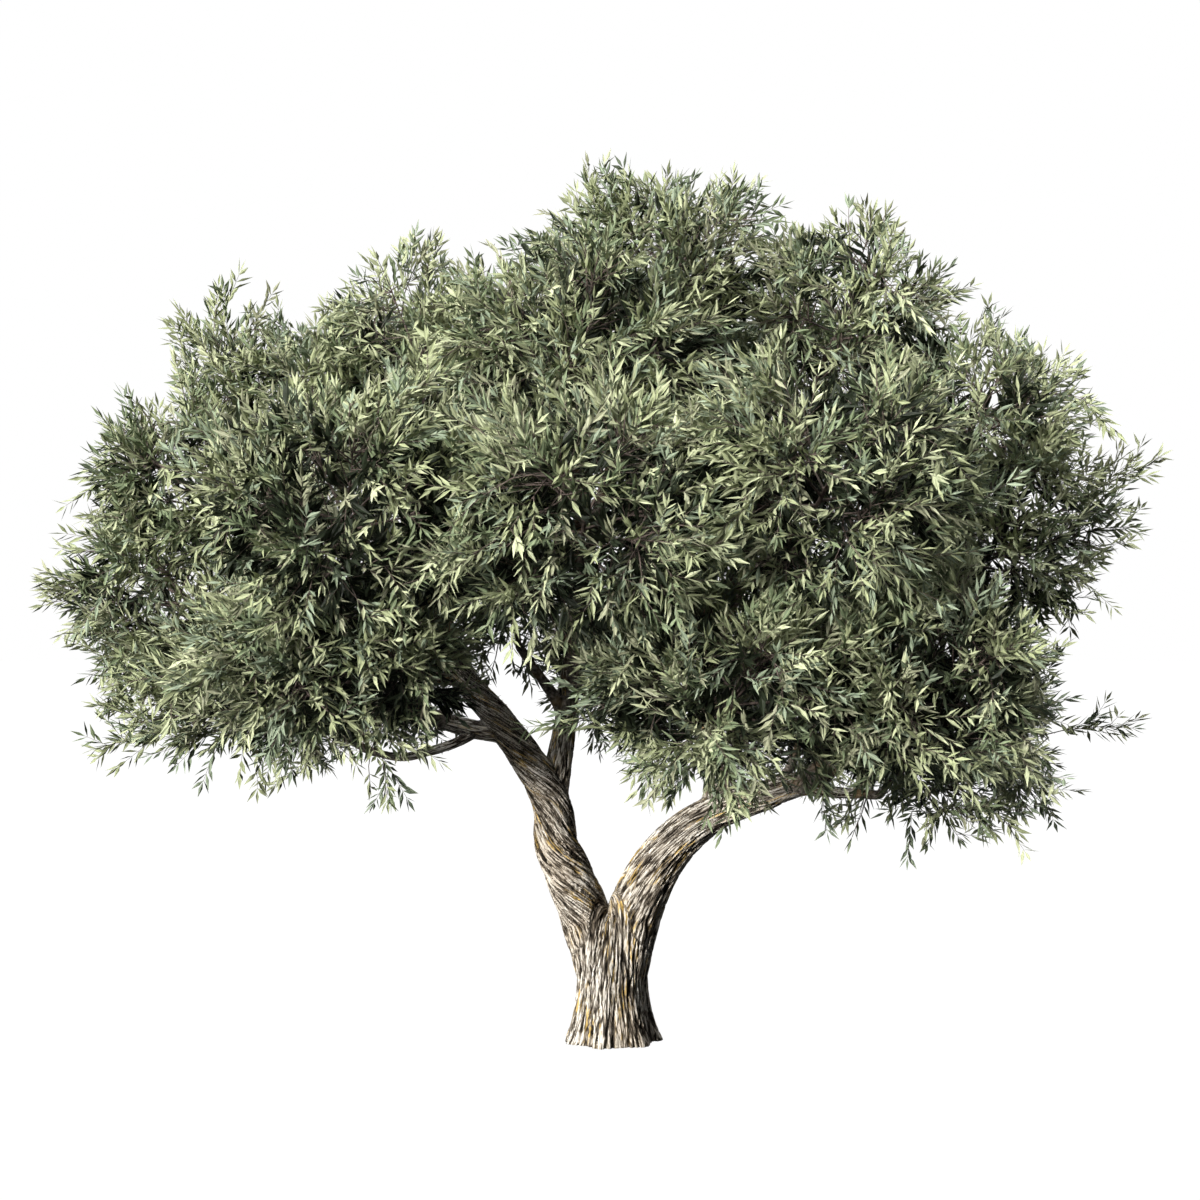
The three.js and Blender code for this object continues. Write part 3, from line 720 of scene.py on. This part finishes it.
def grow_mass(limb, index):
    """One mass's twigs, the sprays that stand out of it, and its branchlets, each as its root and tip."""
    chance = np.random.default_rng(SEED * 1000 + index)
    twigs, branchlets = [], []
    for target, (turn, *sizes) in frame_twigs(limb, index):
        rise = np.clip((target[2] - limb.middle[2]) / limb.half[2], -1, 1)
        root = limb.stem(0.66 + 0.26 * rise)
        twigs.append((root, target))
        reach = target - root
        along = unit(reach)
        tip = target - along * SPRAY * 0.85
        sideways = unit(np.cross([0, 0, 1.0], along))
        across = sideways * math.cos(turn) + np.cross(along, sideways) * math.sin(turn)
        for size, sign in zip(sizes, (1, -1)):
            start = mix(root, tip, 0.9)
            heading = along * math.cos(SPRAY_SPLAY) + across * sign * math.sin(SPRAY_SPLAY)
            branchlets.append((start, start + heading * SPRAY * size))
    roots = np.array([r for r, _ in twigs])
    spans = np.array([t for _, t in twigs]) - roots

    def scattered(count, jitter, reach, fork):
        """Ends spread over the mass, each with its root on the twig that passes nearest."""
        turn = chance.random() * math.pi * 2
        made = []
        for i in range(count):
            out = unit(direction(i, count, turn) + chance.normal(0, jitter, 3))
            tip = limb.middle + out * limb.half * chance.uniform(*reach)
            middles = roots + spans * chance.uniform(*fork)
            made.append((middles[np.linalg.norm(middles - tip, axis=1).argmin()], tip))
        return made

    branchlets += scattered(BRANCHLETS, 0.12, BRANCHLET_REACH, BRANCHLET_FORK)
    sprays = scattered(OUTER_SPRAYS, 0.15, OUTER_REACH, SPRAY_FORK)
    return twigs, sprays, branchlets


def bowed(starts, ends, bow, t):
    """Places along arcs: starts and ends are (n, 3), bow is how far each arc's middle stands off."""
    t = np.asarray(t)[None, :, None]
    return starts[:, None] + (ends - starts)[:, None] * t + bow[:, None] * 4 * t * (1 - t)


def shoots_on(starts, ends, bow, standing, chance):
    """Leafy shoots along branchlets: places where they leave, their headings and lengths.

    A branchlet's own end counts as a shoot, and so does most of one that stands out of the crown."""
    length = np.linalg.norm(ends - starts, axis=1)
    out = []
    for k in range(len(starts)):
        count = max(2, int(round(length[k] / SHOOT["spacing"])))
        t = np.linspace(0.30, 0.96, count) + chance.uniform(-0.03, 0.03, count)
        line = bowed(starts[k:k + 1], ends[k:k + 1], bow[k:k + 1], np.concatenate([t, t + 0.02]))[0]
        place, along = line[:count], unit(line[count:] - line[:count])
        angle = np.arange(count) * GOLDEN + chance.random() * 6.28
        side = square_to(along, np.array([0.2, 0.1, 1.0]) + 0 * along)
        beside = np.cross(along, side)
        radial = side * np.cos(angle)[:, None] + beside * np.sin(angle)[:, None]
        splay = chance.uniform(*SHOOT["splay"], count)[:, None]
        heading = along * np.cos(splay) + radial * np.sin(splay)
        heading = unit(heading + [0, 0, SHOOT["rise"]] + chance.normal(0, 0.10, (count, 3)))
        size = chance.uniform(*SHOOT["length"], count) * mix(1.05, 0.45 if standing[k] else 0.85, t)
        out.append(np.column_stack([place, heading, size]))
        first = 0.30 if standing[k] else 0.72
        stretches = max(1, int(round((1 - first) * length[k] / SHOOT["stretch"])))
        joints = np.linspace(first, 1, 1 + stretches)
        line = bowed(starts[k:k + 1], ends[k:k + 1], bow[k:k + 1], joints)[0]
        reach = np.diff(line, axis=0)
        out.append(np.column_stack([line[:-1], unit(reach), np.linalg.norm(reach, axis=1) + 0.01]))
    return np.vstack(out)


def within_crown(points, depth):
    """Whether points have a depth of foliage outside them: outwards, to their nearer face, and above."""
    deep = np.ones(len(points), bool)
    for way in (unit(points - np.array(HEART)), np.sign(points[:, 1:2]) * [0, 1, 0], np.array([0, 0, 1])):
        outside = points + way * depth
        within = [share_of(limb, outside) < BODY for limb in limbs.values()]
        deep &= np.any(within, axis=0)
    return deep


def in_reach(limb, sprays, points):
    """Whether some points lie in a mass's leafy body, in a dip beside it, or along a spray out of it."""
    share = share_of(limb, points)
    past_wall = beyond_walls(limb, points)
    dips = (past_wall > -DIP["width"]) & (np.abs(points[:, 1]) > DIP["from"])
    reached = (share < BODY) | (share < DIP["reach"]) & dips
    for root, target in sprays:
        along = unit(target - root)
        ahead = (points - target) @ along
        aside = np.linalg.norm(points - target - ahead[:, None] * along, axis=1)
        reached |= (ahead < -0.05) & (aside < SPRAY_WIDTH)
    low, high = np.array(cad_box) + [[CROWN_INSET], [-CROWN_INSET]]
    inside = np.all((points > low) & (points < high), axis=1)
    return reached & inside & (past_wall < PAST_WALL) & (limb_room(points) > LIMB_GAP)


def grow_crown():
    """Every twig, branchlet and shoot of the crown."""
    twigs, branchlets, shoots = [], [], []
    for index, limb in enumerate(limbs.values()):
        chance = np.random.default_rng(SEED * 777 + index)
        own, sprays, fine = grow_mass(limb, index)
        starts = [r for r, _ in fine + sprays] + [mix(r, t, TWIG_FORK) for r, t in own]
        ends = [t for _, t in fine] + [t - unit(t - r) * LEAF["length"] for r, t in sprays + own]
        starts, ends = np.array(starts), np.array(ends)
        span = np.linalg.norm(ends - starts, axis=1)[:, None]
        bow = (np.array([0, 0, 0.05]) + chance.normal(0, 0.035, (len(starts), 3))) * span
        kept = in_reach(limb, sprays + own, ends)
        standing = np.arange(len(starts)) >= len(fine)
        starts, ends, bow, standing = starts[kept], ends[kept], bow[kept], standing[kept]
        grown = shoots_on(starts, ends, bow, standing, chance)
        tips = grown[:, :3] + grown[:, 3:6] * grown[:, 6:7]
        fits = in_reach(limb, sprays + own, tips) & (limb_room(grown[:, :3]) > 0)
        fits &= ~within_crown(tips, SHADE_DEPTH) | (chance.random(len(tips)) < SHADED_SHARE)
        twigs.append((limb, own))
        branchlets.append((starts, ends, bow))
        shoots.append(grown[fits])
    return twigs, branchlets, np.vstack(shoots)


def fine_tubes(starts, ends, bow, kind, rings, sides=3):
    """Many thin tubes of one kind at once."""
    t = np.linspace(0, 1, rings)
    line = bowed(starts, ends, bow, t)
    along = unit(ends - starts)
    across = square_to(along, np.array([0.31, 0.17, 0.93]) + 0 * along)
    ring = circles(across, np.cross(along, across), sides)
    radius = mix(*FINE_RADII[kind], t)
    points = line[:, :, None] + ring[:, None] * radius[None, :, None, None]
    base = np.arange(len(starts))[:, None, None] * rings * sides
    return points.reshape(-1, 3), (tube_walls(rings, sides)[None] + base).reshape(-1, 3)


def make_twigs(twigs, branchlets, shoots, material):
    shapes = []
    for limb, own in twigs:
        t = np.linspace(0, 1, 7)
        shapes.append(tube(limb.stem(t), mix(TIP_RADIUS, STEM_END_RADIUS, t), 7))
        starts, ends = (np.array(side) for side in zip(*own))
        forks = mix(starts, ends, TWIG_FORK)
        shapes.append(fine_tubes(starts, forks, 0 * starts, "twig", 3, 4))
    for starts, ends, bow in branchlets:
        shapes.append(fine_tubes(starts, ends, bow, "branchlet", 4))
    starts = shoots[:, :3]
    ends = starts + shoots[:, 3:6] * shoots[:, 6:7]
    shapes.append(fine_tubes(starts, ends, 0 * starts, "shoot", 2))
    points, faces = joined(shapes)
    return add_object("twigs", mesh_of("twigs", points, faces), material)


def leaves_on(shoots, chance):
    """Opposite pairs of leaves along each shoot, each pair turned from the last, and one leaf at the tip."""
    most = MOST_PAIRS
    count = len(shoots)
    starts, length = shoots[:, :3], shoots[:, 6]
    ends = starts + shoots[:, 3:6] * length[:, None]
    pairs = np.clip(np.round((length - 0.02) / LEAF["spacing"]), 2, most).astype(int)
    k = np.arange(most)[None, :]
    share = (k + 0.7) / pairs[:, None]
    there = k < pairs[:, None]
    place = starts[:, None] + (ends - starts)[:, None] * share[..., None]
    along = np.broadcast_to(unit(ends - starts)[:, None], place.shape)
    up = unit(np.array([0, 0, 1.0]) + chance.normal(0, 0.5, (count, 1, 3)))
    side = square_to(along, np.broadcast_to(up, along.shape))
    beside = np.cross(along, side)
    turn = chance.uniform(0, math.pi, (count, 1)) + k * LEAF["turn"] + chance.normal(0, 0.25, (count, most))
    rows = []
    for sign in (1, -1):
        radial = (beside * np.cos(turn)[..., None] + side * np.sin(turn)[..., None]) * sign
        splay = chance.normal(LEAF["splay"], 0.13, (count, most))[..., None]
        heading = along * np.cos(splay) + radial * np.sin(splay)
        heading = unit(heading + chance.normal(0, 0.08, heading.shape))
        grown = 1 - 0.35 * np.abs(share - 0.5)
        size = LEAF["length"] * grown * chance.uniform(0.78, 1.08, (count, most))
        spray = np.broadcast_to(np.arange(count)[:, None], there.shape)
        facing = unit(side * 0.55 + radial * 0.15 + [0, 0, 0.5] + chance.normal(0, 0.50, heading.shape))
        rows.append((place[there], heading[there], facing[there], size[there], spray[there]))
    facing = unit(np.array([0, 0, 0.8]) + chance.normal(0, 0.5, (count, 3)))
    size = LEAF["length"] * chance.uniform(0.6, 0.85, count)
    rows.append((ends, unit(ends - starts), facing, size, np.arange(count)))
    return [np.concatenate(column) for column in zip(*rows)]


# Corners of a blade, along, across and lift, and how much larger than LEAF it is.
BLADE = SimpleNamespace(
    corners=[(0, 0, 0), (1, 0, 0), (0.42, 0, -1), (0.40, 0.50, 0), (0.44, -0.50, 0)],
    growth=1.0,
)
# the blade for the near-black painted-shade leaves deep in the crown
PAINTED_SHADE_BLADE = SimpleNamespace(
    corners=[(0, 0, 0), (1, 0, 0), (0.45, 0, -1), (0.45, 0.52, 0), (0.45, -0.52, 0)],
    growth=1.5,
)
BLADE_FACES = [(0, 2, 3), (3, 2, 1), (0, 4, 2), (4, 1, 2)]


def leaf_blades(shape, place, heading, facing, size, chance):
    """Blades pointed at both ends, folded along the midrib, the tip bent back a little."""
    flat = square_to(heading, facing)
    side = np.cross(heading, flat)
    size = size * shape.growth
    width = LEAF["width"] * (size / LEAF["length"]) ** 0.6 * chance.uniform(0.85, 1.15, len(size))
    arch = chance.normal(0.05, 0.05, len(size))
    fold = chance.uniform(0.10, 0.28, len(size))
    corners = []
    for x, y, dip in shape.corners:
        lift = dip * fold * width - arch * x * x * size
        corner = place + heading * (x * size)[:, None] + side * (y * width)[:, None] + flat * lift[:, None]
        corners.append(corner)
    points = np.stack(corners, axis=1)
    base = np.arange(len(size))[:, None, None] * len(shape.corners)
    return points.reshape(-1, 3), (np.array(BLADE_FACES)[None] + base).reshape(-1, 3)


def make_leaves(shoots, finishes):
    """All leaves, in one piece for each finish, dealt out by spray, with painted shade near-black deep in the
    crown.
    """
    chance = np.random.default_rng(SEED * 31)
    place, heading, facing, size, spray = leaves_on(shoots, chance)
    shares = np.array([share for _, share in finishes])
    dealt = chance.choice(len(finishes), size=len(shoots), p=shares / shares.sum())
    middles = shoots[:, :3] + shoots[:, 3:6] * shoots[:, 6:7] / 2
    # painted shade: most sprays deep in the crown take the last, near-black finish
    dealt[within_crown(middles, SHADE_PAINT_DEPTH) & (chance.random(len(shoots)) < SHADE_PAINT_SHARE)] = len(finishes) - 1
    made = []
    for k, (material, _) in enumerate(finishes):
        mine = dealt[spray] == k
        shape = PAINTED_SHADE_BLADE if k == len(finishes) - 1 else BLADE
        points, faces = leaf_blades(shape, place[mine], heading[mine], facing[mine], size[mine], chance)
        mesh = mesh_of(f"leaves_{k + 1}", points, faces, smooth=False)
        from_rib = [float(y != 0) for _, y, _ in shape.corners]
        keep_numbers(mesh, "rib", np.tile(from_rib, int(mine.sum())))
        made.append(add_object(f"leaves_{k + 1}", mesh, material))
    return made


# ---- Finishes -----------------------------------------------------------------------------------


class Finish:
    """A material and its nodes, with a short way to add them."""

    def __init__(self, name, roughness, specular=0.5):
        self.material = bpy.data.materials.new(name)
        self.material.use_nodes = True
        self.tree = self.material.node_tree
        self.shader = self.tree.nodes["Principled BSDF"]
        self.shader.inputs["Roughness"].default_value = roughness
        self.shader.inputs["Specular IOR Level"].default_value = specular

    def feed(self, socket, value):
        if isinstance(value, bpy.types.NodeSocket):
            self.tree.links.new(value, socket)
        else:
            socket.default_value = value

    def node(self, kind, settings=(), **inputs):
        made = self.tree.nodes.new(kind)
        for key, value in dict(settings).items():
            setattr(made, key, value)
        for key, value in inputs.items():
            self.feed(made.inputs[int(key[1:]) if key[0] == "_" else key.replace("_", " ")], value)
        return made

    def arithmetic(self, operation, *values):
        inputs = {f"_{k}": value for k, value in enumerate(values)}
        return self.node("ShaderNodeMath", {"operation": operation}, **inputs).outputs[0]

    def place(self):
        return self.node("ShaderNodeTexCoord").outputs["Object"]

    def attribute(self, name, output="Fac"):
        return self.node("ShaderNodeAttribute", {"attribute_name": name}).outputs[output]

    def ramp(self, factor, *stops):
        made = self.node("ShaderNodeValToRGB", Fac=factor)
        elements = made.color_ramp.elements
        while len(elements) < len(stops):
            elements.new(0.5)
        for element, (place, colour) in zip(elements, stops):
            element.position, element.color = place, (*colour, 1)
        return made.outputs["Color"]

    def mixed(self, factor, a, b, blend="MIX"):
        made = self.node("ShaderNodeMix", {"data_type": "RGBA", "blend_type": blend})
        for k, value in ((0, factor), (6, a), (7, b)):
            self.feed(made.inputs[k], (*value, 1) if isinstance(value, tuple) else value)
        return made.outputs[2]

    def fitted(self, value, low, high, to_low=0.0, to_high=1.0):
        return self.node("ShaderNodeMapRange", _0=value, _1=low, _2=high, _3=to_low, _4=to_high).outputs[0]

    def noise(self, vector, scale, detail):
        return self.node("ShaderNodeTexNoise", Vector=vector, Scale=scale, Detail=detail).outputs["Fac"]

    def veins(self, vector, scale, width):
        """0 on thin lines that wander through space, and 1 between them."""
        swing = self.arithmetic("MULTIPLY_ADD", self.noise(vector, scale, 1.5), 2.0, -1.0)
        return self.fitted(self.arithmetic("ABSOLUTE", swing), 0.0, width)

    def weighed(self, *terms):
        """The sum of some values, each times its weight."""
        total = 0.0
        for value, weight in terms:
            total = self.arithmetic("MULTIPLY_ADD", value, weight, total)
        return total

    def set(self, colour):
        self.feed(self.shader.inputs["Base Color"], colour)
        return self.material

    def bump(self, strength, distance, height):
        made = self.node("ShaderNodeBump", Strength=strength, Distance=distance, Height=height)
        self.feed(self.shader.inputs["Normal"], made.outputs["Normal"])


def bark_finish():
    """Pale ridges between near-black furrows, partly painted shade, drawn out along the fibres, with streaks
    of ochre lichen.
    """
    finish = Finish("olive bark", roughness=0.92, specular=0.15)
    fibres = finish.attribute("fibres", "Vector")
    place = finish.place()
    level = finish.weighed(
        (finish.attribute("furrow"), 0.24),
        (finish.attribute("crack"), 0.12),
        # painted shade in the grooves between strands
        (finish.attribute("groove_shade_paint"), 0.10),
        (finish.veins(fibres, 62.0, 0.17), 0.34),
        (finish.veins(fibres, 150.0, 0.18), 0.18),
        (finish.noise(fibres, 420.0, 3.0), 0.12),
        (finish.noise(place, 150.0, 4.0), 0.10),
    )
    # near-black where the level is low, in furrows, cracks and strand grooves: partly the bark's own dark
    # furrows, partly painted shade
    colour = finish.ramp(
        level,
        (0.48, (0.010, 0.008, 0.006)),
        (0.66, (0.047, 0.039, 0.030)),
        (0.81, (0.185, 0.160, 0.130)),
        (0.91, (0.39, 0.358, 0.311)),
        (1.00, (0.72, 0.690, 0.636)),
    )
    patches = finish.fitted(finish.noise(place, 4.0, 4.0), 0.38, 0.62)
    colour = finish.mixed(patches, colour, (0.80, 0.75, 0.69), "MULTIPLY")
    where = finish.fitted(finish.attribute("lichen"), -0.05, 0.28, 0.0, 0.85)
    streaks = finish.fitted(finish.noise(fibres, 110.0, 2.0), 0.54, 0.62)
    amount = finish.arithmetic("MULTIPLY", where, streaks)
    # the lichen goes dark too where the level is low: partly painted shade
    ochre = finish.mixed(finish.fitted(level, 0.5, 0.9), (0.05, 0.030, 0.008), (0.56, 0.38, 0.11))
    colour = finish.mixed(amount, colour, ochre)
    finish.bump(0.9, 0.006, level)
    return finish.set(colour)


def thin_bark_finish():
    finish = Finish("thin bough bark", roughness=0.9, specular=0.2)
    place = finish.place()
    grain = finish.noise(place, 70.0, 5.0)
    colour = finish.ramp(grain, (0.30, (0.035, 0.028, 0.022)), (0.52, (0.17, 0.145, 0.12)),
                         (0.72, (0.40, 0.36, 0.31)))
    tint = finish.fitted(finish.noise(place, 9.0, 3.0), 0.50, 0.66, 0.0, 0.5)
    colour = finish.mixed(tint, colour, (0.30, 0.19, 0.07))
    finish.bump(0.6, 0.003, grain)
    return finish.set(colour)


def twig_finish():
    finish = Finish("twig bark", roughness=0.75, specular=0.3)
    place = finish.place()
    colour = finish.ramp(finish.noise(place, 30.0, 3.0), (0.35, (0.055, 0.042, 0.035)),
                         (0.65, (0.17, 0.130, 0.112)))
    return finish.set(colour)


def leaf_finish(name, colour, rib):
    """Dull, slightly glossy green with a paler midrib, and a slow change of tone through the crown."""
    finish = Finish(name, roughness=0.55, specular=0.28)
    place = finish.place()
    tone = finish.fitted(finish.noise(place, 60.0, 2.0), 0.3, 0.7, 0.80, 1.18)
    green = finish.node("ShaderNodeVectorMath", {"operation": "SCALE"}, _0=colour, Scale=tone)
    blade = finish.fitted(finish.attribute("rib"), 0.05, 0.22)
    return finish.set(finish.mixed(blade, rib, green.outputs[0]))


LEAF_FINISHES = [  # name, base colour, midrib colour, share of the sprays
    ("leaf olive green", (0.245, 0.275, 0.150), (0.34, 0.37, 0.22), 0.25),
    ("leaf deep green", (0.130, 0.168, 0.093), (0.22, 0.26, 0.15), 0.17),
    ("leaf blue green", (0.175, 0.220, 0.152), (0.28, 0.32, 0.22), 0.19),
    ("leaf sage", (0.305, 0.335, 0.200), (0.40, 0.43, 0.28), 0.22),
    ("leaf pale green", (0.395, 0.425, 0.262), (0.48, 0.51, 0.34), 0.09),
    ("leaf grey olive", (0.245, 0.255, 0.165), (0.34, 0.35, 0.24), 0.10),
    # painted shade: near-black leaves for sprays deep in the crown, where shade falls
    ("leaf painted shade", (0.014, 0.020, 0.010), (0.024, 0.032, 0.017), 0.0),  # deep in the crown
]

# ---- The tree -----------------------------------------------------------------------------------


def dress(piece, nodes):
    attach(piece, "root")
    if nodes:
        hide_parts(*nodes)


foliage_nodes = sorted(n for n in frame["nodes"] if n.endswith("_foliage"))
wood_nodes = sorted(n for n in frame["nodes"] if not n.endswith("_foliage"))
skinned_nodes = ["trunk", *SKINNED]
thin_nodes = [n for n in wood_nodes if n not in skinned_nodes]

dress(make_bark(bark_finish()), skinned_nodes)
dress(make_thin_boughs(thin_bark_finish()), thin_nodes)
twigs, branchlets, shoots = grow_crown()
dress(make_twigs(twigs, branchlets, shoots, twig_finish()), foliage_nodes)
finishes = [(leaf_finish(name, colour, rib), share) for name, colour, rib, share in LEAF_FINISHES]
for piece in make_leaves(shoots, finishes):
    dress(piece, foliage_nodes)

# ---- Floor, light and camera --------------------------------------------------------------------

CAMERA_PLACE = (-0.053, -9.4, 1.932)
FIELD_WIDTH = 5.28  # of the view at the trunk
SENSOR = 36.0
BACKDROP_RADIUS = 60.0


def plain_white(name, glow, albedo):
    finish = Finish(name, roughness=1.0, specular=0.0)
    finish.shader.inputs["Base Color"].default_value = (albedo, albedo, albedo, 1)
    finish.shader.inputs["Emission Color"].default_value = (1, 1, 1, 1)
    finish.shader.inputs["Emission Strength"].default_value = glow
    return finish.material


def make_stage():
    """A white floor and dome that show white to the camera, and don't light the tree."""
    circle, ball = bmesh.ops.create_circle, bmesh.ops.create_icosphere
    for name, albedo, make, shape in (
        ("floor", 0.02, circle, {"cap_ends": True, "segments": 96}),
        ("backdrop", 0.0, ball, {"subdivisions": 4}),
    ):
        shaped = bmesh.new()
        make(shaped, radius=BACKDROP_RADIUS, **shape)
        mesh = bpy.data.meshes.new(name)
        shaped.to_mesh(mesh)
        shaped.free()
        obj = add_object(name, mesh, plain_white(name + " white", 1.0, albedo))
        obj.visible_diffuse = obj.visible_glossy = obj.visible_transmission = False
        obj.visible_shadow = False
        obj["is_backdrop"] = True


def add_sun(name, towards, strength, spread, colour):
    sun = bpy.data.lights.new(name, "SUN")
    sun.energy, sun.angle, sun.color = strength, math.radians(spread), colour
    add_object(name, sun).rotation_euler = Vector(towards).to_track_quat("Z", "Y").to_euler()


def make_light():
    """A broad light from the left front, softer ones from above and behind, and a faint sky."""
    add_sun("key_light", (-0.68, -0.80, 0.20), 7.0, 14, (1.0, 0.98, 0.94))
    add_sun("top_light", (-0.30, -0.50, 1.00), 3.6, 40, (1.0, 1.0, 0.98))
    add_sun("back_light", (0.45, 0.90, 0.50), 2.8, 40, (1.0, 1.0, 1.0))
    world = bpy.data.worlds.new("sky")
    world.use_nodes = True
    sky = world.node_tree.nodes["Background"].inputs
    sky["Color"].default_value = (0.92, 0.96, 1.0, 1)
    sky["Strength"].default_value = 0.07
    bpy.context.scene.world = world


def make_camera():
    camera = bpy.data.cameras.new("camera")
    camera.sensor_width = SENSOR
    camera.lens = SENSOR * -CAMERA_PLACE[1] / FIELD_WIDTH
    camera.clip_end = BACKDROP_RADIUS * 3
    obj = add_object("camera", camera)
    obj.location = CAMERA_PLACE
    obj.rotation_euler = (math.pi / 2, 0, 0)
    bpy.context.scene.camera = obj


make_stage()
make_light()
make_camera()
bpy.context.scene.view_settings.view_transform = "Standard"

boxes = {"cad": cad_box, "visual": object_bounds()}
{name: [list(corner) for corner in box] for name, box in boxes.items()}
